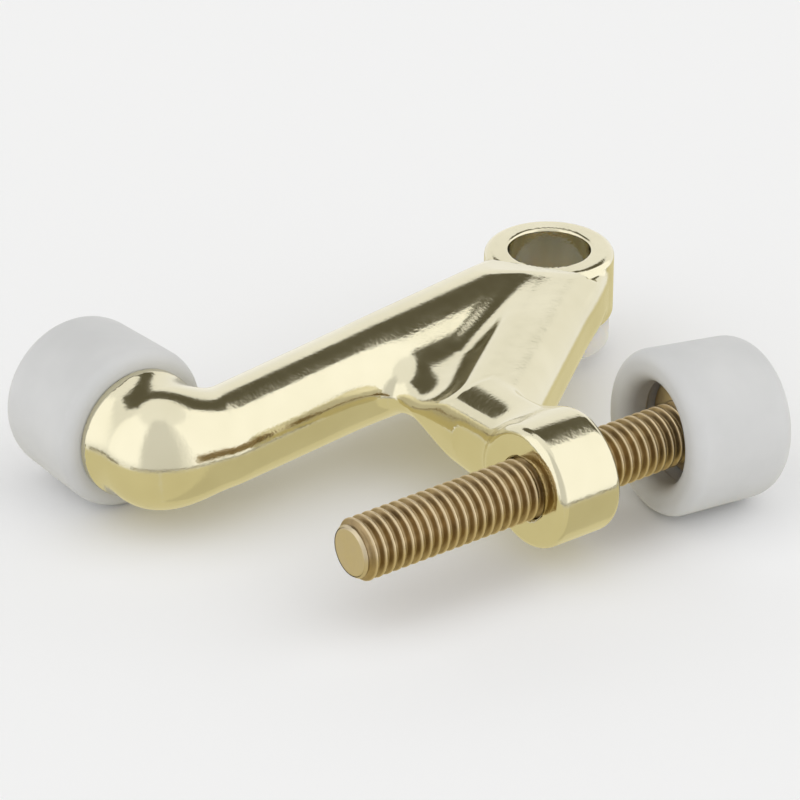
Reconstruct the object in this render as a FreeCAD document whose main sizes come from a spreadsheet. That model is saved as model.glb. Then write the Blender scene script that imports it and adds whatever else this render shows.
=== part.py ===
import FreeCAD, Part
import math
import os
import re
import Sketcher
from FreeCAD import Placement, Rotation, Vector

# Hinge pin door stop. The origin is on the axis of the hinge pin, at mid height of the eye.
# +Z runs up the pin, +X along the adjusting screw to its bumper, +Y out through the arm's bumper.

doc = FreeCAD.newDocument("hinge_pin_door_stop")

# Driving dimensions, in millimetres and degrees
DIMENSIONS = {
    "bore_dia": 8.2,
    "eye_dia": 13.0,
    "eye_height": 7.2,
    "eye_rim_round": 0.8,
    "relief_reach": 5.0,
    "seat_reach": 6.6,
    "relief_angle": 35.0,
    "relief_slope": 20.0,
    "arm_dia": 10.0,
    "arm_end_dia": 9.4,
    "arm_angle": 8.3,
    "arm_start_x": -4.0,
    "arm_start_y": -1.73,
    "arm_length": 40.6,
    "elbow_radius": 7.0,
    "elbow_turn": 54.6,
    "foot_x": -50.4,
    "foot_y": -1.8,
    "foot_angle": 92.4,
    "foot_dia": 12.8,
    "foot_rim": 0.9,
    "foot_ball_dia": 11.8,
    "foot_ball_reach": 3.7,
    "stub_length": 6.6,
    "foot_crease": 1.5,
    "web_angle": 38.5,
    "web_length": 36.0,
    "web_outer": 6.45,
    "web_height": 8.8,
    "web_edge_round": 3.6,
    "web_flank_slope": 40.0,
    "web_crest_round": 0.8,
    "web_face_x": -26.4,
    "web_end_x": -23.2,
    "web_end_y": -20.8,
    "neck_near_x": -26.9,
    "neck_far_x": -21.2,
    "neck_top_y": -19.6,
    "neck_top_height": 8.7,
    "neck_low_height": 10.4,
    "neck_near_round": 3.9,
    "neck_far_round": 1.4,
    "gusset_front_x": -26.9,
    "gusset_arm_y": -6.0,
    "gusset_low_y": -20.0,
    "gusset_height": 4.8,
    "gusset_round": 2.2,
    "gusset_crease": 2.0,
    "boss_dia": 12.0,
    "boss_near_x": -27.5,
    "boss_far_x": -20.4,
    "boss_round": 0.9,
    "boss_crease": 1.0,
    "screw_y": -31.8,
    "screw_dia": 6.0,
    "screw_tip_x": -47.0,
    "screw_tip_chamfer": 0.9,
    "thread_clearance": 0.05,
    "thread_pitch": 1.0,
    "thread_depth": 0.6,
    "thread_root": 0.2,
    "thread_flank": 30.0,
    "thread_turns": 36,
    "thread_start": 1.4,
    "head_dia": 10.2,
    "head_near_x": -8.0,
    "head_thickness": 2.0,
    "cap_length": 11.8,
    "cap_mouth_dia": 16.2,
    "cap_face_dia": 15.4,
    "cap_face_round": 2.6,
    "cap_mouth_round": 1.0,
    "cap_recess_dia": 10.8,
    "cap_recess_depth": 6.8,
    "cap_mouth_x": -12.0,
    "cap_cant": 7.5,
    "cap_cant_roll": 28.0,
    "bush_dia": 12.3,
    "bush_flange": 2.9,
    "bush_spigot_dia": 10.0,
    "bush_spigot": 2.4,
    "bush_round": 0.5,
}

sheet = doc.addObject("Spreadsheet::Sheet", "dimensions")
for row, (alias, value) in enumerate(DIMENSIONS.items(), start=1):
    sheet.set(f"A{row}", alias)
    sheet.set(f"B{row}", str(value))
    sheet.setAlias(f"B{row}", alias)
doc.recompute()

# Two places this close are the same place when an edge is looked for
NEAR = 0.05

# The side to which an arc of an outline bulges, going from corner to corner
LEFT = 1
RIGHT = -1


def bound(text):
    """The text as an expression, with every alias in it read from the sheet."""
    aliases = "|".join(DIMENSIONS)
    return re.sub(rf"\b({aliases})\b", r"dimensions.\1", text)


def size(text):
    """The number that an expression of aliases stands for."""
    return float(sheet.evalExpression(bound(text)))


def drive(item, **expressions):
    """Binds properties of an object to the sheet; a double underscore stands for a dot."""
    for name, text in expressions.items():
        item.setExpression(name.replace("__", "."), bound(text))
    return item


def new_body(label):
    """An empty body of that name."""
    body = doc.addObject("PartDesign::Body", label)
    body.Label = label
    return body


def new_sketch(body, name, role):
    """A sketch on one of the body's own origin planes."""
    sketch = body.newObject("Sketcher::SketchObject", name)
    plane = next(item for item in body.Origin.OriginFeatures if item.Role == role)
    sketch.AttachmentSupport = (plane, "")
    sketch.MapMode = "FlatFace"
    return sketch


def bind(sketch, kind, *args, text):
    """A dimensional constraint whose value follows the sheet."""
    index = sketch.addConstraint(Sketcher.Constraint(kind, *args, size(text)))
    sketch.setExpression(f"Constraints[{index}]", bound(text))


def place_point(sketch, geometry, end, across, up):
    """Holds one end of a sketch element at a place that follows the sheet."""
    bind(sketch, "DistanceX", -1, 1, geometry, end, text=across)
    bind(sketch, "DistanceY", -1, 1, geometry, end, text=up)


def circle(sketch, radius, across="0", up="0"):
    """A circle whose radius and centre follow the sheet."""
    middle = Vector(size(across), size(up), 0)
    index = sketch.addGeometry(Part.Circle(middle, Vector(0, 0, 1), size(radius)))
    bind(sketch, "Radius", index, text=radius)
    place_point(sketch, index, 3, across, up)


def round_side(start, end, radius, bulge):
    """An arc from one corner to the next that bulges to the left or the right of the way between them."""
    chord = end - start
    lift = math.sqrt(radius**2 - chord.Length**2 / 4)
    middle = (start + end) / 2 + Vector(chord.y, -chord.x, 0).normalize() * lift * bulge
    ends = (end, start) if bulge == LEFT else (start, end)
    turns = [math.atan2(point.y - middle.y, point.x - middle.x) for point in ends]
    return Part.ArcOfCircle(Part.Circle(middle, Vector(0, 0, 1), radius), *turns)


def outline(sketch, corners, rounds={}):
    """A closed outline; corners are pairs of texts, and some sides are arcs with a radius and a bulge."""
    count = len(corners)
    points = [Vector(size(across), size(up), 0) for across, up in corners]
    ends = []
    for i in range(count):
        start, end = points[i], points[(i + 1) % count]
        if i in rounds:
            radius, bulge = rounds[i]
            sketch.addGeometry(round_side(start, end, size(radius), bulge))
            bind(sketch, "Radius", i, text=radius)
        else:
            sketch.addGeometry(Part.LineSegment(start, end))
        ends.append((2, 1) if i in rounds and bulge == LEFT else (1, 2))
    for i, (across, up) in enumerate(corners):
        before = i - 1 if i else count - 1
        sketch.addConstraint(Sketcher.Constraint("Coincident", before, ends[before][1], i, ends[i][0]))
        place_point(sketch, i, ends[i][0], across, up)


def axis_line(sketch, start, end):
    """A construction line that a revolution turns about."""
    points = [Vector(size(across), size(up), 0) for across, up in (start, end)]
    index = sketch.addGeometry(Part.LineSegment(*points), True)
    place_point(sketch, index, 1, *start)
    place_point(sketch, index, 2, *end)


def pad(body, name, sketch, length, side="Symmetric", reverse=False):
    """A pad of the sketch, half to each side of it unless one side is asked for."""
    feature = body.newObject("PartDesign::Pad", name)
    feature.Profile = sketch
    feature.SideType = side
    feature.Reversed = reverse
    drive(feature, Length=length)
    doc.recompute()
    return feature


def revolve(body, name, sketch, angle="360", reverse=False):
    """A revolution of the sketch about its own construction line."""
    feature = body.newObject("PartDesign::Revolution", name)
    feature.Profile = sketch
    feature.ReferenceAxis = (sketch, ["Axis0"])
    feature.Reversed = reverse
    drive(feature, Angle=angle)
    doc.recompute()
    return feature


def fillet(body, name, base, radius, wanted):
    """A fillet on the edges of the base feature that the test picks out."""
    edges = enumerate(base.Shape.Edges, start=1)
    feature = body.newObject("PartDesign::Fillet", name)
    feature.Base = (base, [f"Edge{number}" for number, edge in edges if wanted(edge)])
    drive(feature, Radius=radius)
    doc.recompute()
    return feature


def place_of(edge):
    """The middle of an edge's box."""
    return edge.BoundBox.Center


def on_circle(edge, radius):
    """True for a full circle of that radius."""
    return len(edge.Vertexes) == 1 and abs(edge.Curve.Radius - radius) < NEAR


def along_neck(edge, x):
    """True for an edge that runs along the neck in the plane square to X at that place."""
    box = edge.BoundBox
    return box.XLength < NEAR and box.YLength > box.ZLength and abs(box.Center.x - x) < NEAR


def near_z(edge, z):
    """True for an edge at that height."""
    return abs(place_of(edge).z - z) < NEAR


def runs_between(edge, start, end):
    """True for an edge that, seen from above, runs from one place of the plan to the other."""
    plan = [Vector(vertex.X, vertex.Y, 0) for vertex in edge.Vertexes]
    return all(min((Vector(*place, 0) - point).Length for point in plan) < NEAR for place in (start, end))


def seat_on_foot(body):
    """Sets a body that was made along +X on the axis of the arm's foot."""
    body.Placement.Rotation = Rotation(Vector(0, 0, 1), size("foot_angle"))
    place = {"Placement__Base__x": "foot_x", "Placement__Base__y": "foot_y"}
    return drive(body, Placement__Rotation__Angle="foot_angle", **place)


def make_arm():
    """Round arm, tapered from the eye to the elbow and turned there towards the foot."""
    body = new_body("arm_form")
    profile = new_sketch(body, "arm_profile", "XY_Plane")
    corners = [("0", "0"), ("0", "arm_dia / 2"), ("-arm_length", "arm_end_dia / 2"), ("-arm_length", "0")]
    outline(profile, corners)
    axis_line(profile, ("0", "0"), ("arm_length", "0"))
    revolve(body, "arm", profile)
    section = new_sketch(body, "elbow_section", "YZ_Plane")
    drive(section, AttachmentOffset__Base__z="-arm_length")
    circle(section, "arm_end_dia / 2")
    axis_line(section, ("elbow_radius", "0"), ("elbow_radius", "elbow_radius"))
    revolve(body, "elbow", section, "elbow_turn", reverse=True)
    body.Placement.Rotation = Rotation(Vector(0, 0, 1), size("arm_angle"))
    place = {"Placement__Base__x": "arm_start_x", "Placement__Base__y": "arm_start_y"}
    return drive(body, Placement__Rotation__Angle="arm_angle", **place)


def make_foot():
    """Foot of the arm: a ball flared out to the bumper's mouth, with the stub that the bumper grips."""
    body = new_body("foot_form")
    profile = new_sketch(body, "foot_profile", "XY_Plane")
    corners = [
        ("-foot_ball_reach - foot_ball_dia / 2", "0"),
        ("-foot_ball_reach", "foot_ball_dia / 2"),
        ("-foot_rim", "foot_dia / 2"),
        ("0", "foot_dia / 2"),
        ("0", "cap_recess_dia / 2"),
        ("stub_length", "cap_recess_dia / 2"),
        ("stub_length", "0"),
    ]
    run = "(foot_ball_reach - foot_rim)"
    rise = "(foot_dia - foot_ball_dia)"
    flare = f"{run}^2 / {rise} + {rise} / 4"
    outline(profile, corners, {0: ("foot_ball_dia / 2", LEFT), 1: (flare, RIGHT)})
    axis_line(profile, ("0", "0"), ("foot_dia", "0"))
    revolve(body, "foot", profile)
    return seat_on_foot(body)


def make_web():
    """Web from the eye to the boss, round on its outer edge and sloped to a wedge on its flank."""
    body = new_body("web_form")
    section = new_sketch(body, "web_section", "YZ_Plane")
    corners = [
        ("-web_outer", "-web_height / 2"),
        ("0", "-web_height / 2"),
        ("web_height / 2 / tan(web_flank_slope * 1deg)", "0"),
        ("0", "web_height / 2"),
        ("-web_outer", "web_height / 2"),
    ]
    outline(section, corners)
    block = pad(body, "web", section, "web_length", "One side", reverse=True)
    outer = [(place, -size("web_outer")) for place in (0, -size("web_length"))]
    edge = fillet(body, "web_edge", block, "web_edge_round", lambda e: runs_between(e, *outer))
    crest = [(place, 0) for place in (0, -size("web_length"))]
    fillet(body, "web_crest", edge, "web_crest_round", lambda e: runs_between(e, *crest))
    body.Placement.Rotation = Rotation(Vector(0, 0, 1), size("web_angle"))
    return drive(body, Placement__Rotation__Angle="web_angle")


def make_neck():
    """Neck that carries the boss below the web, full and round on its near side."""
    body = new_body("neck_form")
    side = new_sketch(body, "neck_side", "YZ_Plane")
    drive(side, AttachmentOffset__Base__z="(neck_near_x + neck_far_x) / 2")
    corners = [
        ("neck_top_y", "neck_top_height / 2"),
        ("neck_top_y", "-neck_top_height / 2"),
        ("screw_y", "-neck_low_height / 2"),
        ("screw_y", "neck_low_height / 2"),
    ]
    outline(side, corners)
    block = pad(body, "neck", side, "neck_far_x - neck_near_x")
    near_x, far_x = size("neck_near_x"), size("neck_far_x")
    near = fillet(body, "neck_near", block, "neck_near_round", lambda e: along_neck(e, near_x))
    fillet(body, "neck_far", near, "neck_far_round", lambda e: along_neck(e, far_x))
    return body


def trim_block(name, end_x, end_y):
    """A box that trims the web on its near side, up to a place of the plan."""
    tool = doc.addObject("Part::Box", name)
    drive(tool, Length="web_length", Width="web_length", Height="2 * web_height")
    place = {"Placement__Base__x": f"{end_x} - web_length", "Placement__Base__y": f"{end_y} - web_length"}
    return drive(tool, Placement__Base__z="-web_height", **place)


def make_trimmed_web():
    """The web, faced off beside the gusset and ended in the neck."""
    face = trim_block("web_face", "web_face_x", "0")
    end = trim_block("web_end", "web_end_x", "web_end_y")
    return cut("trimmed_web", make_web(), fuse("web_trims", face, end))


def make_gusset():
    """Thinner gusset that fills the corner between the arm and the web."""
    body = new_body("gusset_form")
    plan = new_sketch(body, "gusset_plan", "XY_Plane")
    corners = [
        ("arm_start_x", "arm_start_y"),
        ("gusset_front_x", "gusset_arm_y"),
        ("gusset_front_x", "gusset_low_y"),
    ]
    outline(plan, corners)
    block = pad(body, "gusset", plan, "gusset_height")
    front = [(size("gusset_front_x"), size(end)) for end in ("gusset_arm_y", "gusset_low_y")]
    fillet(body, "gusset_front", block, "gusset_round", lambda e: runs_between(e, *front))
    return body


def make_boss():
    """Round boss that the screw is threaded through."""
    body = new_body("boss_form")
    section = new_sketch(body, "boss_section", "YZ_Plane")
    drive(section, AttachmentOffset__Base__z="(boss_near_x + boss_far_x) / 2")
    circle(section, "boss_dia / 2", across="screw_y")
    block = pad(body, "boss", section, "boss_far_x - boss_near_x")
    fillet(body, "boss_rims", block, "boss_round", lambda e: on_circle(e, size("boss_dia / 2")))
    return body


def make_eye():
    """Eye that slips over the hinge pin."""
    body = new_body("eye_form")
    plan = new_sketch(body, "eye_plan", "XY_Plane")
    circle(plan, "eye_dia / 2")
    block = pad(body, "eye", plan, "eye_height")
    fillet(body, "eye_rims", block, "eye_rim_round", lambda e: on_circle(e, size("eye_dia / 2")))
    return body


def cylinder(name, radius, length, **place):
    """A plain cylinder for a cut, standing on Z until it is turned."""
    tool = doc.addObject("Part::Cylinder", name)
    return drive(tool, Radius=radius, Height=length, **place)


def make_relief(name, side, reach):
    """A cut that clears the arm and the web off one flat of the eye, up to a sloped step."""
    body = new_body(name)
    profile = new_sketch(body, f"{name}_side", "XZ_Plane")
    profile.AttachmentOffset = Placement(Vector(), Rotation(Vector(0, 1, 0), size("relief_angle")))
    drive(profile, AttachmentOffset__Rotation__Angle="relief_angle")
    corners = [
        ("eye_dia", f"{side} * eye_height / 2"),
        (f"-{reach}", f"{side} * eye_height / 2"),
        (f"-{reach} - eye_height / 2 / tan(relief_slope * 1deg)", f"{side} * eye_height"),
        ("eye_dia", f"{side} * eye_height"),
    ]
    outline(profile, corners)
    pad(body, f"{name}_block", profile, "2 * eye_dia")
    return body


def fuse(name, *shapes):
    """Several shapes joined to one."""
    joined = doc.addObject("Part::MultiFuse", name)
    joined.Shapes = list(shapes)
    return joined


def cut(name, base, tool):
    """A shape with another taken off it."""
    left = doc.addObject("Part::Cut", name)
    left.Base = base
    left.Tool = tool
    return left


def blend(name, base, radius, wanted):
    """A shape with the creases that the test picks out filled to a radius."""
    doc.recompute()
    edges = enumerate(base.Shape.Edges, start=1)
    blended = doc.addObject("Part::Fillet", name)
    blended.Base = base
    blended.Edges = [(number, size(radius), size(radius)) for number, edge in edges if wanted(edge)]
    return blended


def beside_gusset(edge):
    """True for the long creases that the arm and the web's flank make with the faces of the gusset."""
    level = edge.BoundBox.ZLength < NEAR and edge.Length > size("gusset_height")
    return level and abs(abs(place_of(edge).z) - size("gusset_height / 2")) < NEAR


def beside_boss(edge):
    """True for the long creases where the neck runs into the round of the boss."""
    axis = Vector(0, size("screw_y"), 0)
    radii = [(vertex.Point - axis).cross(Vector(1, 0, 0)).Length for vertex in edge.Vertexes]
    on_boss = all(abs(radius - size("boss_dia / 2")) < NEAR for radius in radii)
    return on_boss and edge.BoundBox.XLength > size("boss_dia / 4")


def beside_foot(edge):
    """True for the creases that the inner side of the elbow makes with the flare of the foot."""
    middle = place_of(edge)
    inner = size("foot_x + foot_ball_reach") < middle.x < size("foot_x + foot_ball_dia")
    return inner and size("foot_y - foot_ball_reach - foot_rim") < middle.y < size("foot_y - foot_rim")


def make_casting():
    """One-piece casting: limbs relieved round the eye, joined to it and bored, with their creases filled."""
    arm = fuse("arm_and_foot", make_arm(), make_foot())
    limbs = fuse("limbs", arm, make_trimmed_web(), make_neck(), make_gusset(), make_boss())
    upper = make_relief("upper_relief", 1, "relief_reach")
    lower = make_relief("lower_relief", -1, "seat_reach")
    reliefs = fuse("reliefs", upper, lower)
    forms = fuse("casting_forms", cut("relieved_limbs", limbs, reliefs), make_eye())
    pin_bore = cylinder("pin_bore", "bore_dia / 2", "2 * eye_height", Placement__Base__z="-eye_height")
    bush_seat = cylinder("bush_seat", "bush_spigot_dia / 2", "eye_height")
    drive(bush_seat, Placement__Base__z="bush_spigot - 3 * eye_height / 2")
    screw_bore = cylinder("screw_bore", "screw_dia / 2 + thread_clearance", "boss_dia")
    screw_bore.Placement.Rotation = Rotation(Vector(0, 1, 0), 90)
    drive(screw_bore, Placement__Base__x="boss_near_x - boss_dia / 4", Placement__Base__y="screw_y")
    bored = cut("bored_casting", forms, fuse("bores", pin_bore, bush_seat, screw_bore))
    bored.Refine = True
    blended = blend("blended_gusset", bored, "gusset_crease", beside_gusset)
    blended = blend("blended_boss", blended, "boss_crease", beside_boss)
    return blend("cast_body", blended, "foot_crease", beside_foot)


def make_screw():
    """Adjusting screw: a stud with a flat head and its thread cut as grooves at their true pitch."""
    body = new_body("adjusting_screw")
    profile = new_sketch(body, "screw_profile", "XY_Plane")
    corners = [
        ("screw_tip_x", "screw_y"),
        ("screw_tip_x", "screw_y + screw_dia / 2 - screw_tip_chamfer"),
        ("screw_tip_x + screw_tip_chamfer", "screw_y + screw_dia / 2"),
        ("head_near_x", "screw_y + screw_dia / 2"),
        ("head_near_x", "screw_y + head_dia / 2"),
        ("head_near_x + head_thickness", "screw_y + head_dia / 2"),
        ("head_near_x + head_thickness", "screw_y"),
    ]
    outline(profile, corners)
    axis_line(profile, ("0", "screw_y"), ("head_dia", "screw_y"))
    revolve(body, "screw", profile)
    section = new_sketch(body, "groove_section", "XY_Plane")
    start = "screw_tip_x + thread_start"
    root = "screw_y + screw_dia / 2 - thread_depth"
    mouth = "screw_y + screw_dia / 2 + thread_depth / 2"
    reach = "(thread_root / 2 + 3 * thread_depth / 2 * tan(thread_flank * 1deg))"
    corners = [
        (f"{start} - thread_root / 2", root),
        (f"{start} + thread_root / 2", root),
        (f"{start} + {reach}", mouth),
        (f"{start} - {reach}", mouth),
    ]
    outline(section, corners)
    axis_line(section, ("screw_tip_x", "screw_y"), ("0", "screw_y"))
    groove = body.newObject("PartDesign::Groove", "thread_groove")
    groove.Profile = section
    groove.ReferenceAxis = (section, ["Axis0"])
    doc.recompute()
    pattern = body.newObject("PartDesign::LinearPattern", "thread_turns")
    pattern.Originals = [groove]
    pattern.Direction = (section, ["Axis0"])
    drive(pattern, Occurrences="thread_turns", Length="thread_pitch * (thread_turns - 1)")
    body.Tip = pattern
    doc.recompute()
    return body


def make_cap(label):
    """Rubber bumper: a tapered cap with a round recess, its mouth at its own origin and its face at +X."""
    body = new_body(label)
    profile = new_sketch(body, f"{label}_profile", "XY_Plane")
    corners = [
        ("0", "cap_recess_dia / 2"),
        ("0", "cap_mouth_dia / 2"),
        ("cap_length", "cap_face_dia / 2"),
        ("cap_length", "0"),
        ("cap_recess_depth", "0"),
        ("cap_recess_depth", "cap_recess_dia / 2"),
    ]
    outline(profile, corners)
    axis_line(profile, ("0", "0"), ("cap_length", "0"))
    turned = revolve(body, f"{label}_turned", profile)
    rim = size("cap_mouth_dia / 2")
    face = size("cap_face_dia / 2")
    mouth = fillet(body, f"{label}_mouth", turned, "cap_mouth_round", lambda e: on_circle(e, rim))
    fillet(body, f"{label}_face", mouth, "cap_face_round", lambda e: on_circle(e, face))
    return body


def make_arm_bumper():
    """Bumper gripped on the arm's stub, with its mouth against the foot."""
    return seat_on_foot(make_cap("arm_bumper"))


def make_screw_bumper():
    """Bumper on the screw's head, canted about the middle of the head as it hangs there."""
    body = make_cap("screw_bumper")
    roll = math.radians(size("cap_cant_roll"))
    cant = Rotation(Vector(0, math.sin(roll), -math.cos(roll)), size("cap_cant"))
    pivot = Vector(size("head_near_x + head_thickness / 2"), size("screw_y"), 0)
    mouth = Vector(size("cap_mouth_x"), size("screw_y"), 0)
    body.Placement = Placement(pivot + cant.multVec(mouth - pivot), cant)
    return body


def make_bush():
    """Nylon bush: a flange under the eye with a short spigot in the eye's seat."""
    body = new_body("pin_bush")
    profile = new_sketch(body, "bush_profile", "XZ_Plane")
    corners = [
        ("bore_dia / 2", "-eye_height / 2 - bush_flange"),
        ("bush_dia / 2", "-eye_height / 2 - bush_flange"),
        ("bush_dia / 2", "-eye_height / 2"),
        ("bush_spigot_dia / 2", "-eye_height / 2"),
        ("bush_spigot_dia / 2", "-eye_height / 2 + bush_spigot"),
        ("bore_dia / 2", "-eye_height / 2 + bush_spigot"),
    ]
    outline(profile, corners)
    axis_line(profile, ("0", "0"), ("0", "eye_height"))
    turned = revolve(body, "bush", profile)
    base = size("-eye_height / 2 - bush_flange")
    rim = size("bush_dia / 2")
    fillet(body, "bush_rim", turned, "bush_round", lambda e: on_circle(e, rim) and near_z(e, base))
    return body


parts = [make_casting(), make_screw(), make_screw_bumper(), make_arm_bumper(), make_bush()]
doc.recompute()

for item in doc.Objects:
    if "Invalid" in item.State or "Error" in item.State:
        raise RuntimeError(f"{item.Name} failed: {item.State}")
for part in parts:
    if part.Shape.isNull() or not part.Shape.isValid():
        raise RuntimeError(f"{part.Label} has no valid shape")

os.makedirs("parts", exist_ok=True)
for part in parts:
    part.Shape.exportStep(f"parts/{part.Label}.step")
    print(part.Label, round(part.Shape.Volume, 1), len(part.Shape.Solids), part.Shape.optimalBoundingBox())
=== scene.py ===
import math

import bpy
import numpy as np
from mathutils import Matrix, Vector


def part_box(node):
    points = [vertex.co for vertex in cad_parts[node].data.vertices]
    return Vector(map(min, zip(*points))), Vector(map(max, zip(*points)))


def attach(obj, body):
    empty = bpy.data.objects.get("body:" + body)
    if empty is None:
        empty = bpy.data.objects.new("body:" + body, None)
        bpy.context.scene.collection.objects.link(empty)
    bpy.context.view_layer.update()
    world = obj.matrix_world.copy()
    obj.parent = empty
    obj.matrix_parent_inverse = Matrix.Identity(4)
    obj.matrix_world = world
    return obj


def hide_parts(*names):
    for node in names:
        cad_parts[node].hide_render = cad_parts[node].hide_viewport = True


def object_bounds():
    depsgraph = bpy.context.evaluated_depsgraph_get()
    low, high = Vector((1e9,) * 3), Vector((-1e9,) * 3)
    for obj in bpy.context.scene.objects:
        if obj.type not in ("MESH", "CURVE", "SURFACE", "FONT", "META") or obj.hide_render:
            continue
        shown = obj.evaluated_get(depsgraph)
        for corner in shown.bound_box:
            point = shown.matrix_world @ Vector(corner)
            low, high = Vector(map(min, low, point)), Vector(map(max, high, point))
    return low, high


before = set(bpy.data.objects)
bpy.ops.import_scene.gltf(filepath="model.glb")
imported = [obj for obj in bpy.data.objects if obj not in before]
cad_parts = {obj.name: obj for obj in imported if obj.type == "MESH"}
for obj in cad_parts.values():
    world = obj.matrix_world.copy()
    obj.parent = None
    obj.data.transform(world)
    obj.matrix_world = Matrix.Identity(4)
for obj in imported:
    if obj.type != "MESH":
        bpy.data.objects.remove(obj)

CAD_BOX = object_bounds()

# Shapes are worked out in millimetres and turned to metres when their mesh is made
MM = 0.001

# Eye on the hinge pin
BORE_RADIUS = 4.1
EYE_RADIUS = 6.5
EYE_HALF_HEIGHT = 3.6
EYE_RIM_ROUND = 0.8
BORE_EDGE_ROUND = 0.3

# Step that leaves the eye's flats clear of the arm and the web
RELIEF_TURN = math.radians(215)
UPPER_REACH = 5.0
LOWER_REACH = 6.6
RELIEF_STEP = 0.35
RELIEF_SLOPE = math.tan(math.radians(14))
RELIEF_UNDERCUT = 0.8
UNDERCUT_REACH = 1.0
RELIEF_EDGE_ROUND = 0.25

# Arm, elbow and foot
ARM_START = (-4.0, -1.73)
ARM_TURN = math.radians(188.3)
ARM_LENGTH = 40.6
ARM_RADIUS = 5.0
ARM_END_RADIUS = 4.7
ELBOW_RADIUS = 7.0
ELBOW_TURN = math.radians(54.6)
FOOT = (-50.4, -1.8)
FOOT_TURN = math.radians(92.4)
FOOT_RADIUS = 6.4
FOOT_RIM = 0.9
BALL_RADIUS = 5.9
BALL_REACH = 3.7
FOOT_EDGE_ROUND = 0.3
STUB_LENGTH = 6.6
STUB_RADIUS = 5.38

# Web, gusset, neck and boss, with the boss round the screw's axis
SCREW_Y = -31.8
WEB_TURN = math.radians(218.5)
WEB_LENGTH = 36.0
WEB_OUTER = 6.45
WEB_HALF_HEIGHT = 4.4
WEB_EDGE_ROUND = 3.6
WEB_FLANK_SLOPE = math.radians(35)
WEB_CREST_ROUND = 0.6
NECK_NEAR_X = -26.9
NECK_FAR_X = -21.2
NECK_TOP_Y = -19.6
NECK_TOP_HALF = 4.4
NECK_LOW_HALF = 5.2
NECK_RISE = (NECK_LOW_HALF - NECK_TOP_HALF) / (NECK_TOP_Y - SCREW_Y)
NECK_NEAR_ROUND = 1.0
NECK_CROWN_X = -22.9
NECK_CROWN_RADIUS = 5.3
NECK_FAR_ROUND = 1.4
GUSSET_FRONT_X = -26.9
GUSSET_HALF_HEIGHT = 2.4
GUSSET_FRONT_ROUND = 2.3
GUSSET_FRONT_REACH = 3.8
GUSSET_CREST_GAP = 1.0
BOSS_RADIUS = 6.0
BOSS_NEAR_X = -27.5
BOSS_FAR_X = -20.4
BOSS_ROUND = 0.9
SCREW_HOLE_CLEARANCE = 0.05
SCREW_HOLE_ROUND = 0.25
SCREW_HOLE_END_X = -15.0

# Reach of the creases where the forms flow into each other, widest in the saddle near the eye
FOOT_BLEND = 2.0
ARM_BLEND = 4.0
SADDLE_BLEND = 6.0
SADDLE_START = 11.0
SADDLE_END = 22.0
SADDLE_TOP_MARGIN = 0.4
SADDLE_TOP_FADE = 2.0
WEB_BLEND = 1.2
NECK_BLEND = 0.6
NEAR_EDGE_ROUND = 0.35
BOSS_BLEND = 2.4
EYE_BLEND = 0.3

# Screw: its thread has a share of crest, a share of flank and a softness of the flank, and is made of
# columns round it and rows in each turn, with turns to spare at the ends
SCREW_RADIUS = 3.0
THREAD_PITCH = 1.0
THREAD_DEPTH = 0.58
THREAD_CREST = 0.14
THREAD_FLANK = 0.62
THREAD_SOFTNESS = 0.35
THREAD_COLUMNS = 72
THREAD_ROWS = 16
SPARE_TURNS = 3
SCREW_TIP_X = -47.0
TIP_CHAMFER = 0.65
TIP_SLOPE = 0.75
TIP_EDGE_ROUND = 0.15
HEAD_RADIUS = 5.1
HEAD_NEAR_X = -8.0
HEAD_THICKNESS = 2.0
HEAD_EDGE_ROUND = 0.3

# Bumpers, with a lip in the mouth of the screw's one
CAP_LENGTH = 11.8
CAP_MOUTH_RADIUS = 8.1
CAP_FACE_RADIUS = 7.7
CAP_FACE_ROUND = 2.6
CAP_MOUTH_ROUND = 1.3
CAP_RECESS_RADIUS = 5.4
CAP_RECESS_DEPTH = 6.8
CAP_RECESS_ROUND = 0.4
ARM_LIP_ROUND = 0.3
SCREW_LIP_ROUND = 1.4
SCREW_LIP_RADIUS = 4.95
SCREW_LIP_DEPTH = 2.6
LIP_STEP_ROUND = 0.2
LIP_BACK_ROUND = 0.3
CAP_MOUTH_X = -12.0
CAP_CANT = math.radians(7.5)
CAP_CANT_ROLL = math.radians(28)

# Flat ends of turned pieces: radius of the needle hole on the axis and of the small ring round it,
# and width of the ring of faces just inside the rounded edge
AXIS_HOLE = 0.001
AXIS_RING = 0.05
FLAT_EDGE = 0.15

# Bush under the eye
BUSH_RADIUS = 6.15
BUSH_FLANGE = 2.9
BUSH_SPIGOT_RADIUS = 5.0
BUSH_SPIGOT = 2.4
BUSH_ROUND = 0.5
BUSH_EDGE_ROUND = 0.2

# Casting's skin: size of its cells, margin round it, times its points are drawn onto the surface,
# and least squared slope that they are drawn along
SKIN_CELL = 0.27
SKIN_MARGIN = 1.0
SKIN_PASSES = 4
LEAST_SLOPE = 0.3

# Range that most of a noise's values lie in
NOISE_LOW, NOISE_HIGH = 0.3, 0.7

# Painted highlights on the screw: depth on the thread's crests, length over which the tip's end fades in,
# and the colours of both
CREST_HIGHLIGHT_DEPTH = 0.14
TIP_HIGHLIGHT_FADE = 0.1
CREST_HIGHLIGHT_COLOUR = (0.72, 0.59, 0.38, 1)
TIP_HIGHLIGHT_COLOUR = (0.66, 0.56, 0.38, 1)


def heading(turn):
    """Unit vector of the plan for an angle from +X."""
    return np.array([math.cos(turn), math.sin(turn)])


def right_of(direction):
    """The direction of the plan a quarter turn to the right."""
    return np.array([direction[1], -direction[0]])


def unite(a, b, radius):
    """Union of two distances with its crease filled to that radius."""
    crease = np.hypot(np.maximum(radius - a, 0), np.maximum(radius - b, 0))
    return np.maximum(radius, np.minimum(a, b)) - crease


def melt(a, b, reach):
    """Union of two distances that flow into each other over that reach."""
    share = np.maximum(reach - np.abs(a - b), 0) / reach
    return np.minimum(a, b) - share**3 * reach / 6


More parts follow.
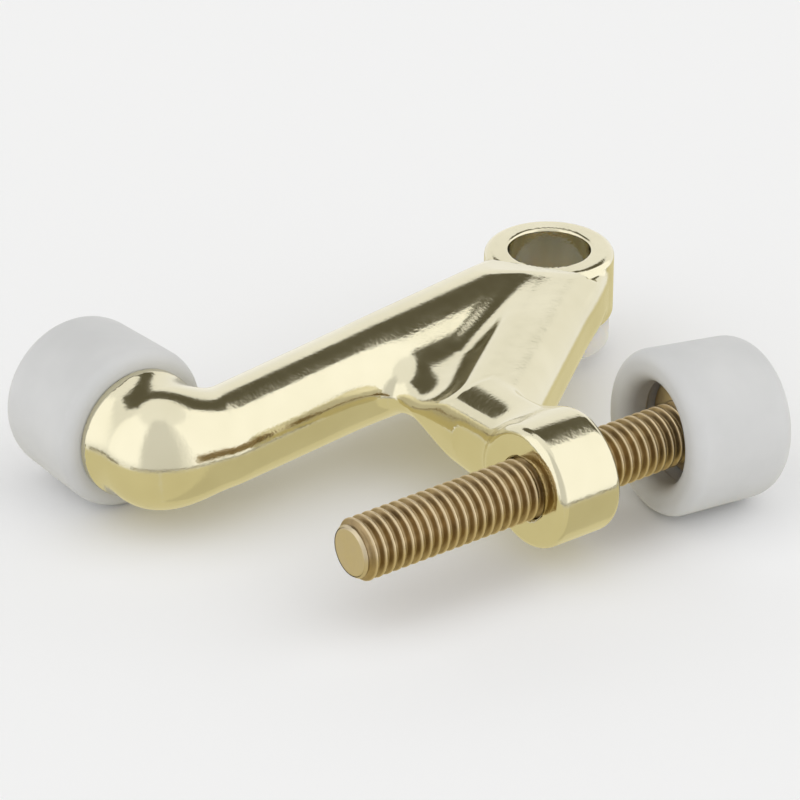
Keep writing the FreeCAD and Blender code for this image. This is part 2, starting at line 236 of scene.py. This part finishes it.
def crop(a, b, radius):
    """Intersection of two distances with its edge rounded to that radius."""
    return -unite(-a, -b, radius)


def plane(x, y, point, outward):
    """Distance beyond an upright plane through a point of the plan."""
    return (x - point[0]) * outward[0] + (y - point[1]) * outward[1]


def arm_distance(x, y, z):
    """Distance to the tapered arm and its elbow."""
    along = heading(ARM_TURN)
    share = np.clip(((x - ARM_START[0]) * along[0] + (y - ARM_START[1]) * along[1]) / ARM_LENGTH, 0, 1)
    off_x = x - ARM_START[0] - share * ARM_LENGTH * along[0]
    off_y = y - ARM_START[1] - share * ARM_LENGTH * along[1]
    radius = ARM_RADIUS + (ARM_END_RADIUS - ARM_RADIUS) * share
    straight = np.sqrt(off_x**2 + off_y**2 + z**2) - radius
    side = right_of(along)
    middle = np.array(ARM_START) + ARM_LENGTH * along + ELBOW_RADIUS * side
    first = math.atan2(-side[1], -side[0])
    turn = np.clip(np.arctan2(y - middle[1], x - middle[0]), first - ELBOW_TURN, first)
    off_x = x - middle[0] - ELBOW_RADIUS * np.cos(turn)
    off_y = y - middle[1] - ELBOW_RADIUS * np.sin(turn)
    bend = np.sqrt(off_x**2 + off_y**2 + z**2) - ARM_END_RADIUS
    return np.minimum(straight, bend)


def foot_distance(x, y, z):
    """Distance to the ball of the foot, flared out to the bumper, and the stub in the bumper."""
    axis = heading(FOOT_TURN)
    along = plane(x, y, FOOT, axis)
    across = np.hypot(plane(x, y, FOOT, right_of(axis)), z)
    ball = np.hypot(along + BALL_REACH, across) - BALL_RADIUS
    flare = np.clip((along + BALL_REACH) / (BALL_REACH - FOOT_RIM), 0, 1) ** 2
    radius = BALL_RADIUS + (FOOT_RADIUS - BALL_RADIUS) * flare
    foot = np.where(along < -BALL_REACH, ball, crop(across - radius, along, FOOT_EDGE_ROUND))
    stub = np.maximum(across - STUB_RADIUS, np.abs(along - STUB_LENGTH / 2) - STUB_LENGTH / 2)
    return np.minimum(foot, stub)


def across_web(x, y):
    """Distance from the web's crest, towards the arm."""
    return plane(x, y, (0, 0), right_of(heading(WEB_TURN)))


def web_distance(x, y, z):
    """Distance to the web, round on its outer edge and sloped to a wedge on its flank."""
    run = plane(x, y, (0, 0), heading(WEB_TURN))
    across = across_web(x, y)
    top = np.abs(z) - WEB_HALF_HEIGHT
    flank = across * math.sin(WEB_FLANK_SLOPE) + top * math.cos(WEB_FLANK_SLOPE)
    web = crop(crop(-across - WEB_OUTER, top, WEB_EDGE_ROUND), flank, WEB_CREST_ROUND)
    return np.maximum(web, np.abs(run - WEB_LENGTH / 2) - WEB_LENGTH / 2)


def neck_distance(x, y, z):
    """Distance to the neck above the boss, without its near side."""
    top = (np.abs(z) - NECK_TOP_HALF - NECK_RISE * (NECK_TOP_Y - y)) / math.hypot(1, NECK_RISE)
    neck = crop(top, x - NECK_FAR_X, NECK_FAR_ROUND)
    return np.maximum(neck, np.maximum(y - NECK_TOP_Y, SCREW_Y - y))


def near_side_distance(x, y, z):
    """Distance beyond the crowned near side that the web and the neck share."""
    half = NECK_TOP_HALF + NECK_RISE * np.maximum(NECK_TOP_Y - y, 0)
    up = np.abs(z) - half + NECK_CROWN_RADIUS
    crown = np.hypot(np.maximum(NECK_CROWN_X - x, 0), up) - NECK_CROWN_RADIUS
    return crop(NECK_NEAR_X - x, crown, NECK_NEAR_ROUND)


def gusset_distance(x, y, z):
    """Distance to the thinner gusset between the arm and the web."""
    front = (GUSSET_FRONT_X - x) * GUSSET_FRONT_ROUND / GUSSET_FRONT_REACH
    gusset = crop(np.abs(z) - GUSSET_HALF_HEIGHT, front, GUSSET_FRONT_ROUND)
    gusset = np.maximum(gusset, plane(x, y, ARM_START, right_of(heading(ARM_TURN))))
    return np.maximum(gusset, GUSSET_CREST_GAP - across_web(x, y))


def boss_distance(x, y, z):
    """Distance to the round boss."""
    middle = (BOSS_NEAR_X + BOSS_FAR_X) / 2
    half = (BOSS_FAR_X - BOSS_NEAR_X) / 2
    return crop(np.hypot(y - SCREW_Y, z) - BOSS_RADIUS, np.abs(x - middle) - half, BOSS_ROUND)


def relief_distance(x, y, z, reach):
    """Distance above the step that clears one flat of the eye."""
    away = plane(x, y, (0, 0), heading(RELIEF_TURN)) - reach
    inner = np.maximum(away, -UNDERCUT_REACH) * RELIEF_UNDERCUT
    rise = np.where(away > 0, RELIEF_STEP + RELIEF_SLOPE * away, inner)
    return z - EYE_HALF_HEIGHT - rise


def casting_distance(points):
    """Distance to the whole casting, negative inside it."""
    x, y, z = points
    limbs = unite(arm_distance(x, y, z), foot_distance(x, y, z), FOOT_BLEND)
    limbs = melt(limbs, gusset_distance(x, y, z), ARM_BLEND)
    trunk = unite(web_distance(x, y, z), neck_distance(x, y, z), NECK_BLEND)
    trunk = crop(trunk, near_side_distance(x, y, z), NEAR_EDGE_ROUND)
    trunk = melt(trunk, boss_distance(x, y, z), BOSS_BLEND)
    away = np.clip((np.hypot(x, y) - SADDLE_START) / (SADDLE_END - SADDLE_START), 0, 1)
    low = np.clip((WEB_HALF_HEIGHT + SADDLE_TOP_MARGIN - np.abs(z)) / SADDLE_TOP_FADE, 0, 1)
    limbs = melt(limbs, trunk, WEB_BLEND + (SADDLE_BLEND - WEB_BLEND) * (1 - away) * low)
    limbs = crop(limbs, relief_distance(x, y, z, UPPER_REACH), RELIEF_EDGE_ROUND)
    limbs = crop(limbs, relief_distance(x, y, -z, LOWER_REACH), RELIEF_EDGE_ROUND)
    eye = crop(np.hypot(x, y) - EYE_RADIUS, np.abs(z) - EYE_HALF_HEIGHT, EYE_RIM_ROUND)
    casting = unite(limbs, eye, EYE_BLEND)
    casting = crop(casting, BORE_RADIUS - np.hypot(x, y), BORE_EDGE_ROUND)
    seat = np.minimum(BUSH_SPIGOT - EYE_HALF_HEIGHT - z, BUSH_SPIGOT_RADIUS - np.hypot(x, y))
    casting = np.maximum(casting, seat)
    screw_hole = SCREW_RADIUS + SCREW_HOLE_CLEARANCE - np.hypot(y - SCREW_Y, z)
    return np.where(x > SCREW_HOLE_END_X, casting, crop(casting, screw_hole, SCREW_HOLE_ROUND))


def cell_edges():
    """The twelve edges of a cell, as pairs of corners."""
    corners = [(i, j, k) for i in (0, 1) for j in (0, 1) for k in (0, 1)]
    pairs = [(a, b) for a in corners for b in corners if sum(b) - sum(a) == 1]
    return [(a, b) for a, b in pairs if all(p <= q for p, q in zip(a, b))]


def skin_of(distance, low, high, cell):
    """Closed quad skin of a distance field: one point in each cell that the surface crosses."""
    axes = [np.arange(a, b + cell, cell) for a, b in zip(low, high)]
    field = distance(np.meshgrid(*axes, indexing="ij"))
    inside = field < 0
    shape = np.array(field.shape) - 1
    total = np.zeros((*shape, 3))
    count = np.zeros(shape)

    def at_corner(grid, corner):
        """The grid's values at one corner of every cell."""
        return grid[tuple(slice(c, c + n) for c, n in zip(corner, shape))]

    for a, b in cell_edges():
        crossed = at_corner(inside, a) != at_corner(inside, b)
        start, end = at_corner(field, a), at_corner(field, b)
        share = np.where(crossed, start / np.where(crossed, start - end, 1), 0)
        place = np.array(a) + share[..., None] * (np.array(b) - np.array(a))
        total += place * crossed[..., None]
        count += crossed
    active = count > 0
    number = np.full(shape, -1)
    number[active] = np.arange(active.sum())
    cells = np.argwhere(active)
    points = np.array(low) + cell * (cells + total[active] / count[active][:, None])
    quads = []
    for axis in range(3):
        side, depth = [(1, 2), (2, 0), (0, 1)][axis]
        step = np.zeros(3, int)
        step[axis] = 1
        spot = np.argwhere(at_corner(inside, (0, 0, 0)) != at_corner(inside, tuple(step)))
        spot = spot[(spot[:, side] > 0) & (spot[:, depth] > 0)]
        back = np.eye(3, dtype=int)
        ring = [spot, spot - back[side], spot - back[side] - back[depth], spot - back[depth]]
        quad = np.stack([number[tuple(corner.T)] for corner in ring], axis=1)
        outward = inside[tuple(spot.T)]
        quads.append(np.where(outward[:, None], quad, quad[:, ::-1]))
    return points, np.concatenate(quads)


def slope_of(distance, points, reach=0.02):
    """Gradient of a distance field at some points."""
    steps = np.eye(3) * reach
    pairs = [(distance((points + step).T), distance((points - step).T)) for step in steps]
    return np.stack([(ahead - behind) / (2 * reach) for ahead, behind in pairs], axis=1)


def add_object(name, data):
    """A new object of the scene."""
    item = bpy.data.objects.new(name, data)
    bpy.context.scene.collection.objects.link(item)
    return item


def add_piece(name, points, faces, normals=None):
    """A smooth mesh piece from points in millimetres."""
    mesh = bpy.data.meshes.new(name)
    mesh.from_pydata((np.asarray(points) * MM).tolist(), [], [list(map(int, face)) for face in faces])
    mesh.validate()
    mesh.shade_smooth()
    if normals is not None:
        mesh.normals_split_custom_set_from_vertices(normals.tolist())
    return add_object(name, mesh)


def make_casting():
    """The casting as one flowing skin."""
    low, high = (np.array(corner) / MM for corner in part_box("cast_body"))
    points, quads = skin_of(casting_distance, low - SKIN_MARGIN, high + SKIN_MARGIN, SKIN_CELL)
    for _ in range(SKIN_PASSES):
        slope = slope_of(casting_distance, points)
        depth = np.clip(casting_distance(points.T), -SKIN_CELL, SKIN_CELL)
        steep = np.maximum((slope**2).sum(1), LEAST_SLOPE)
        points = points - slope * (depth / steep)[:, None]
    slope = slope_of(casting_distance, points)
    normals = slope / np.linalg.norm(slope, axis=1)[:, None]
    return add_piece("casting_skin", points, quads, normals)


def rounded(corners, steps=10):
    """Points of an outline whose corners are (along, across, radius)."""
    points = []
    for i, (along, across, radius) in enumerate(corners):
        here = np.array([along, across])
        if radius == 0:
            points.append(here)
            continue
        before = np.array(corners[i - 1][:2]) - here
        after = np.array(corners[(i + 1) % len(corners)][:2]) - here
        before, after = before / np.hypot(*before), after / np.hypot(*after)
        half = math.acos(np.clip(before @ after, -1, 1)) / 2
        tangent = radius / math.tan(half)
        middle = here + (before + after) / np.hypot(*(before + after)) * radius / math.sin(half)
        start, end = here + before * tangent - middle, here + after * tangent - middle
        turn = math.pi - 2 * half
        for step in range(steps + 1):
            share = step / steps
            mix = (math.sin((1 - share) * turn) * start + math.sin(share * turn) * end) / math.sin(turn)
            points.append(middle + mix)
    return np.array(points)


def lathe(outline, segments=160):
    """A closed outline of (along, across) points turned about its own X axis."""
    turns = np.linspace(0, math.tau, segments, endpoint=False)
    count = len(outline)
    along, across = outline.T
    rings = [np.stack([along, across * math.cos(turn), across * math.sin(turn)], 1) for turn in turns]
    faces = []
    for i in range(segments):
        here, there = i * count, (i + 1) % segments * count
        for j in range(count):
            k = (j + 1) % count
            faces.append((here + j, here + k, there + k, there + j))
    return np.concatenate(rings), faces


def placed(points, turn, place):
    """Points turned by a matrix and then moved."""
    return points @ np.array(turn.to_3x3()).T + np.array(place)


def flat_end(along, radius):
    """Corners of a flat end, from the axis out to a radius just short of its rounded edge."""
    return [(along, across, 0) for across in (AXIS_HOLE, AXIS_RING, radius - FLAT_EDGE)]


def cap_outline(lip):
    """Section of a bumper: recess, lip, mouth, tapered side and rounded face."""
    corners = [
        *flat_end(CAP_RECESS_DEPTH, CAP_RECESS_RADIUS - CAP_RECESS_ROUND),
        (CAP_RECESS_DEPTH, CAP_RECESS_RADIUS, CAP_RECESS_ROUND),
        *lip,
        (0, CAP_MOUTH_RADIUS, CAP_MOUTH_ROUND),
        (CAP_LENGTH, CAP_FACE_RADIUS, CAP_FACE_ROUND),
        *reversed(flat_end(CAP_LENGTH, CAP_FACE_RADIUS - CAP_FACE_ROUND)),
    ]
    return rounded(corners)


def make_arm_bumper():
    """Bumper on the arm's foot."""
    points, faces = lathe(cap_outline([(0, CAP_RECESS_RADIUS, ARM_LIP_ROUND)]))
    turn = Matrix.Rotation(FOOT_TURN, 3, "Z")
    return add_piece("arm_bumper_cap", placed(points, turn, (*FOOT, 0)), faces)


def make_screw_bumper():
    """Bumper on the screw's head, canted on it."""
    step = SCREW_LIP_DEPTH + CAP_RECESS_RADIUS - SCREW_LIP_RADIUS
    lip = [
        (step, CAP_RECESS_RADIUS, LIP_STEP_ROUND),
        (SCREW_LIP_DEPTH, SCREW_LIP_RADIUS, LIP_BACK_ROUND),
        (0, SCREW_LIP_RADIUS, SCREW_LIP_ROUND),
    ]
    points, faces = lathe(cap_outline(lip))
    turn = Matrix.Rotation(CAP_CANT, 3, Vector((0, math.sin(CAP_CANT_ROLL), -math.cos(CAP_CANT_ROLL))))
    pivot = np.array([HEAD_NEAR_X + HEAD_THICKNESS / 2, SCREW_Y, 0])
    points = points + [CAP_MOUTH_X - pivot[0], 0, 0]
    return add_piece("screw_bumper_cap", placed(points, turn, pivot), faces)


def make_bush():
    """Flanged bush under the eye."""
    seat = -EYE_HALF_HEIGHT
    corners = [
        (seat - BUSH_FLANGE, BORE_RADIUS, BORE_EDGE_ROUND),
        (seat - BUSH_FLANGE, BUSH_RADIUS, BUSH_ROUND),
        (seat, BUSH_RADIUS, BUSH_EDGE_ROUND),
        (seat, BUSH_SPIGOT_RADIUS, 0),
        (seat + BUSH_SPIGOT, BUSH_SPIGOT_RADIUS, BUSH_EDGE_ROUND),
        (seat + BUSH_SPIGOT, BORE_RADIUS, BUSH_EDGE_ROUND),
    ]
    points, faces = lathe(rounded(corners, steps=6))
    upright = Matrix.Rotation(-math.pi / 2, 3, "Y")
    return add_piece("pin_bush_ring", placed(points, upright, (0, 0, 0)), faces)


def thread_profile(share):
    """Depth of the thread below its crest, for a share of the pitch."""
    off = np.abs((share + 0.5) % 1 - 0.5) * 2
    flank = np.clip((off - THREAD_CREST) / THREAD_FLANK, 0, 1)
    soft = flank * flank * (3 - 2 * flank)
    return THREAD_DEPTH * (soft * THREAD_SOFTNESS + flank * (1 - THREAD_SOFTNESS))


def make_thread():
    """Points and faces of the helical thread, chamfered at the tip; its rows run on past both ends."""
    turns = int((HEAD_NEAR_X - SCREW_TIP_X) / THREAD_PITCH) + SPARE_TURNS
    rows = turns * THREAD_ROWS
    points = np.zeros((THREAD_COLUMNS, rows, 3))
    for column in range(THREAD_COLUMNS):
        turn = math.tau * column / THREAD_COLUMNS
        share = np.arange(rows) / THREAD_ROWS + column / THREAD_COLUMNS
        x = np.clip(SCREW_TIP_X + (share - 1) * THREAD_PITCH, SCREW_TIP_X, HEAD_NEAR_X)
        chamfer = SCREW_RADIUS - TIP_CHAMFER + (x - SCREW_TIP_X) * TIP_SLOPE
        radius = np.minimum(SCREW_RADIUS - thread_profile(share), chamfer)
        points[column] = np.stack([x, radius * math.cos(turn), radius * math.sin(turn)], 1)
    faces = []
    for column in range(THREAD_COLUMNS):
        following = (column + 1) % THREAD_COLUMNS
        shift = THREAD_ROWS if following == 0 else 0
        for row in range(rows - 1):
            far = row + shift
            if far + 1 >= rows or points[column, row, 0] == points[column, row + 1, 0]:
                continue
            here, there = column * rows, following * rows
            faces.append((here + row, here + row + 1, there + far + 1, there + far))
    return points, faces


def join(parts):
    """Several (points, faces) pairs as one."""
    offset = 0
    all_points, all_faces = [], []
    for points, faces in parts:
        all_points.append(np.asarray(points).reshape(-1, 3))
        all_faces += [tuple(index + offset for index in face) for face in faces]
        offset += len(all_points[-1])
    return np.concatenate(all_points), all_faces


def make_screw():
    """The screw: its thread, the flat end of its tip and its flat head."""
    tip_radius = SCREW_RADIUS - TIP_CHAMFER
    tip = [
        (SCREW_TIP_X + TIP_CHAMFER, AXIS_HOLE, 0),
        *flat_end(SCREW_TIP_X, tip_radius - TIP_EDGE_ROUND),
        (SCREW_TIP_X, tip_radius, TIP_EDGE_ROUND),
        (SCREW_TIP_X + TIP_CHAMFER, tip_radius, 0),
    ]
    far = HEAD_NEAR_X + HEAD_THICKNESS
    head = [
        *flat_end(HEAD_NEAR_X, HEAD_RADIUS - HEAD_EDGE_ROUND),
        (HEAD_NEAR_X, HEAD_RADIUS, HEAD_EDGE_ROUND),
        (far, HEAD_RADIUS, HEAD_EDGE_ROUND),
        *reversed(flat_end(far, HEAD_RADIUS - HEAD_EDGE_ROUND)),
    ]
    turned = [lathe(rounded(tip, steps=5), THREAD_COLUMNS), lathe(rounded(head, steps=5), segments=96)]
    points, faces = join([make_thread(), *turned])
    return add_piece("adjusting_screw_thread", points + [0, SCREW_Y, 0], faces)


def node_tree(name):
    """A new material, its node tree and its principled shader."""
    material = bpy.data.materials.new(name)
    material.use_nodes = True
    tree = material.node_tree
    return material, tree, tree.nodes["Principled BSDF"]


def add_node(tree, kind, **values):
    """A node with some of its inputs set by name."""
    node = tree.nodes.new(kind)
    for name, value in values.items():
        node.inputs[name.replace("_", " ")].default_value = value
    return node


def noise_of(tree, scale, detail=2.0):
    """Noise over the piece's own coordinates."""
    coordinates = tree.nodes.new("ShaderNodeTexCoord")
    noise = add_node(tree, "ShaderNodeTexNoise", Scale=scale, Detail=detail)
    tree.links.new(coordinates.outputs["Object"], noise.inputs["Vector"])
    return noise.outputs["Fac"]


def ramp_of(tree, source, low, high):
    """A colour between two, by a noise."""
    ramp = tree.nodes.new("ShaderNodeValToRGB")
    first, last = ramp.color_ramp.elements
    first.position, last.position = NOISE_LOW, NOISE_HIGH
    first.color, last.color = (*low, 1), (*high, 1)
    tree.links.new(source, ramp.inputs["Fac"])
    return ramp.outputs["Color"]


def mix_of(tree, share, first, second):
    """A colour between two, by a share; colours are sockets or plain values."""
    mix = tree.nodes.new("ShaderNodeMix")
    mix.data_type = "RGBA"
    sockets = [socket for socket in mix.inputs if socket.type == "RGBA"]
    tree.links.new(share, mix.inputs["Factor"])
    for socket, source in zip(sockets, (first, second)):
        if isinstance(source, tuple):
            socket.default_value = source
        else:
            tree.links.new(source, socket)
    return next(socket for socket in mix.outputs if socket.type == "RGBA")


def range_of(tree, source, low=0, high=1, start=NOISE_LOW, end=NOISE_HIGH):
    """A number between a low and a high one, by how far a source has come from a start to an end."""
    spread = add_node(tree, "ShaderNodeMapRange", From_Min=start, From_Max=end, To_Min=low, To_Max=high)
    tree.links.new(source, spread.inputs["Value"])
    return spread.outputs["Result"]


def math_of(tree, operation, *sources):
    """A number worked out from others; sources are sockets or plain numbers."""
    node = tree.nodes.new("ShaderNodeMath")
    node.operation = operation
    for socket, source in zip(node.inputs, sources):
        if isinstance(source, (int, float)):
            socket.default_value = source
        else:
            tree.links.new(source, socket)
    return node.outputs["Value"]


def component_of(tree, vector, axis):
    """Share of a vector along an axis."""
    node = tree.nodes.new("ShaderNodeVectorMath")
    node.operation = "DOT_PRODUCT"
    node.inputs[1].default_value = axis
    tree.links.new(vector, node.inputs[0])
    return node.outputs["Value"]


def bump_of(tree, shader, source, strength, distance):
    """Bump of a shader's surface from a noise."""
    bump = add_node(tree, "ShaderNodeBump", Strength=strength, Distance=distance)
    tree.links.new(source, bump.inputs["Height"])
    tree.links.new(bump.outputs["Normal"], shader.inputs["Normal"])


def plating_material():
    """Bright brass plating over a cast surface, with a faint orange peel."""
    material, tree, shader = node_tree("bright_brass_plating")
    shader.inputs["Metallic"].default_value = 1.0
    colour = ramp_of(tree, noise_of(tree, scale=160), low=(0.73, 0.68, 0.49), high=(0.78, 0.73, 0.54))
    tree.links.new(colour, shader.inputs["Base Color"])
    roughness = range_of(tree, noise_of(tree, scale=900, detail=3), low=0.09, high=0.15)
    tree.links.new(roughness, shader.inputs["Roughness"])
    bump_of(tree, shader, noise_of(tree, scale=3000, detail=3), strength=0.28, distance=0.04 * MM)
    return material


def screw_material():
    """Dull plating in the thread, with painted highlights that make the crests and the tip's end lighter.
    """
    material, tree, shader = node_tree("dull_brass_thread")
    shader.inputs["Metallic"].default_value = 1.0
    groove = noise_of(tree, scale=700, detail=4)
    colour = ramp_of(tree, groove, low=(0.31, 0.225, 0.115), high=(0.46, 0.345, 0.185))
    place = tree.nodes.new("ShaderNodeTexCoord").outputs["Object"]
    off_y = math_of(tree, "SUBTRACT", component_of(tree, place, (0, 1, 0)), SCREW_Y * MM)
    off_z = component_of(tree, place, (0, 0, 1))
    squares = [math_of(tree, "POWER", off, 2) for off in (off_y, off_z)]
    radius = math_of(tree, "SQRT", math_of(tree, "ADD", *squares))
    # Painted highlight: the thread's crests are coloured lighter
    crest = range_of(tree, radius, start=(SCREW_RADIUS - CREST_HIGHLIGHT_DEPTH) * MM, end=SCREW_RADIUS * MM)
    colour = mix_of(tree, crest, colour, CREST_HIGHLIGHT_COLOUR)
    # Painted highlight: the tip's end is coloured lighter
    tip_start = SCREW_TIP_X + TIP_CHAMFER / 2
    along = component_of(tree, place, (1, 0, 0))
    tip = range_of(tree, along, start=tip_start * MM, end=(tip_start - TIP_HIGHLIGHT_FADE) * MM)
    colour = mix_of(tree, tip, colour, TIP_HIGHLIGHT_COLOUR)
    tree.links.new(colour, shader.inputs["Base Color"])
    roughness = range_of(tree, noise_of(tree, scale=1500, detail=3), low=0.32, high=0.46)
    tree.links.new(roughness, shader.inputs["Roughness"])
    bump_of(tree, shader, noise_of(tree, scale=4000, detail=3), strength=0.2, distance=0.03 * MM)
    return material


def rubber_material():
    """Moulded white rubber with faint cloudy marks."""
    material, tree, shader = node_tree("white_moulded_rubber")
    clouds = noise_of(tree, scale=120, detail=4)
    colour = ramp_of(tree, clouds, low=(0.605, 0.607, 0.6), high=(0.675, 0.675, 0.667))
    tree.links.new(colour, shader.inputs["Base Color"])
    roughness = range_of(tree, noise_of(tree, scale=400, detail=3), low=0.5, high=0.62)
    tree.links.new(roughness, shader.inputs["Roughness"])
    shader.inputs["Specular IOR Level"].default_value = 0.3
    bump_of(tree, shader, noise_of(tree, scale=1200, detail=4), strength=0.12, distance=0.05 * MM)
    return material


def nylon_material():
    """Moulded white nylon, a little warmer than the rubber, that light passes into."""
    material, tree, shader = node_tree("white_moulded_nylon")
    clouds = noise_of(tree, scale=200, detail=3)
    colour = ramp_of(tree, clouds, low=(0.68, 0.66, 0.62), high=(0.75, 0.73, 0.70))
    tree.links.new(colour, shader.inputs["Base Color"])
    roughness = range_of(tree, noise_of(tree, scale=600), low=0.38, high=0.5)
    tree.links.new(roughness, shader.inputs["Roughness"])
    shader.inputs["Subsurface Weight"].default_value = 0.8
    shader.inputs["Subsurface Radius"].default_value = (1.0, 0.8, 0.45)
    shader.inputs["Subsurface Scale"].default_value = 3 * MM
    bump_of(tree, shader, noise_of(tree, scale=1500, detail=3), strength=0.08, distance=0.04 * MM)
    return material


RUBBER = rubber_material()
PIECES = [
    (make_casting(), "cast_body", "casting", "plated_casting", plating_material()),
    (make_screw(), "adjusting_screw", "screw", "plated_screw", screw_material()),
    (make_screw_bumper(), "screw_bumper", "bumper", "white_rubber", RUBBER),
    (make_arm_bumper(), "arm_bumper", "casting", "white_rubber", RUBBER),
    (make_bush(), "pin_bush", "casting", "white_nylon", nylon_material()),
]
for piece, node, body, slot, material in PIECES:
    piece.data.materials.append(material)
    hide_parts(node)
    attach(piece, body)

# Camera at the photograph's viewing angle: its focal length in pixels of the picture, the place of
# the eye's middle in the picture and its distance, and how far the view turns and looks down
FRAME_PIXELS = 800
FOCAL_PIXELS = 4326.75
EYE_PIXEL = (548.65, 279.51)
EYE_DISTANCE = 434.4 * MM
VIEW_TURN = math.radians(35.87)
VIEW_DROP = math.radians(28.9)


def make_camera():
    """Camera that puts the eye's middle at its place in the photograph."""
    camera = bpy.data.cameras.new("camera")
    camera.sensor_width = 36
    camera.lens = FOCAL_PIXELS / FRAME_PIXELS * camera.sensor_width
    camera.clip_start = 0.01
    item = add_object("camera", camera)
    back = Vector((math.sin(VIEW_TURN), math.cos(VIEW_TURN), 0))
    right = Vector((math.cos(VIEW_TURN), -math.sin(VIEW_TURN), 0))
    ahead = back * math.cos(VIEW_DROP) - Vector((0, 0, math.sin(VIEW_DROP)))
    up = right.cross(ahead)
    across, down = ((pixel - FRAME_PIXELS / 2) / FOCAL_PIXELS * EYE_DISTANCE for pixel in EYE_PIXEL)
    place = -(right * across - up * down + ahead * EYE_DISTANCE)
    item.matrix_world = Matrix.Translation(place) @ Matrix((right, up, -ahead)).transposed().to_4x4()
    bpy.context.scene.camera = item


FLOOR_REACH = 6.0
FLOOR_COLOUR = (0.925, 0.925, 0.925, 1)


def make_floor():
    """Plain pale floor under the lowest point, not seen in mirror reflections."""
    level = CAD_BOX[0].z
    mesh = bpy.data.meshes.new("floor")
    corners = [(x * FLOOR_REACH, y * FLOOR_REACH, level) for x, y in ((-1, -1), (1, -1), (1, 1), (-1, 1))]
    mesh.from_pydata(corners, [], [(0, 1, 2, 3)])
    floor = add_object("floor", mesh)
    material, _, shader = node_tree("pale_floor")
    shader.inputs["Base Color"].default_value = FLOOR_COLOUR
    shader.inputs["Roughness"].default_value = 1.0
    shader.inputs["Specular IOR Level"].default_value = 0.0
    mesh.materials.append(material)
    floor.visible_glossy = False


# Studio round the object, in degrees to the right of the view's own direction and up from the horizon:
# each panel has its sides, its lower and upper edge, the softness of its edges and its colour
ROOM_COLOUR = (1.03, 1.03, 1.03, 1)
PANELS = [
    ((150, 210), (-90, 75), 8, (0.8, 0.8, 0.8, 1)),
    ((-82, -45), (-90, 53), 6, (0.98, 0.98, 0.98, 1)),
    ((-180, 180), (-90, -19), 3, (0.74, 0.68, 0.43, 1)),
    ((55, 125), (-90, -19), 3, (0.63, 0.58, 0.37, 1)),
    ((52, 140), (-14, 62), 3, (1.27, 1.27, 1.27, 1)),
    ((-150, -82), (-10, 62), 6, (1.27, 1.27, 1.27, 1)),
    ((-58, 54), (34, 57), 1.2, (0.12, 0.11, 0.075, 1)),
    ((62, 226), (-17.6, -15.4), 0.6, (0.13, 0.11, 0.05, 1)),
    ((-110, -62), (-18, -15), 0.6, (0.13, 0.11, 0.05, 1)),
]


def step_of(tree, angle, edge, soft):
    """A soft step from 0 to 1 where an angle passes an edge; edge and softness are in degrees."""
    step = tree.nodes.new("ShaderNodeMapRange")
    step.interpolation_type = "SMOOTHSTEP"
    step.inputs["From Min"].default_value = math.radians(edge - soft)
    step.inputs["From Max"].default_value = math.radians(edge + soft)
    tree.links.new(angle, step.inputs["Value"])
    return step.outputs["Result"]


def panel_of(tree, turn, height, sides, edges, soft):
    """Mask of a soft-edged panel of the studio; turns run on past a half turn behind the camera."""
    middle = math.radians(sum(sides) / 2)
    turn = math_of(tree, "WRAP", math_of(tree, "SUBTRACT", turn, middle), math.pi, -math.pi)
    half = (sides[1] - sides[0]) / 2
    across = math_of(tree, "SUBTRACT", 1, step_of(tree, math_of(tree, "ABSOLUTE", turn), half, soft))
    above = step_of(tree, height, edges[0], soft)
    below = math_of(tree, "SUBTRACT", 1, step_of(tree, height, edges[1], soft))
    return math_of(tree, "MULTIPLY", across, math_of(tree, "MULTIPLY", above, below))


def make_world():
    """Soft studio: a pale room with its panels, round the object."""
    world = bpy.data.worlds.new("studio")
    world.use_nodes = True
    bpy.context.scene.world = world
    tree = world.node_tree
    direction = tree.nodes.new("ShaderNodeTexCoord").outputs["Generated"]
    right = component_of(tree, direction, (math.cos(VIEW_TURN), -math.sin(VIEW_TURN), 0))
    ahead = component_of(tree, direction, (math.sin(VIEW_TURN), math.cos(VIEW_TURN), 0))
    turn = math_of(tree, "ARCTAN2", right, ahead)
    height = math_of(tree, "ARCSINE", component_of(tree, direction, (0, 0, 1)))
    colour = ROOM_COLOUR
    for sides, edges, soft, panel_colour in PANELS:
        colour = mix_of(tree, panel_of(tree, turn, height, sides, edges, soft), colour, panel_colour)
    tree.links.new(colour, tree.nodes["Background"].inputs["Color"])


make_camera()
make_floor()
make_world()
bpy.context.scene.view_settings.view_transform = "Standard"
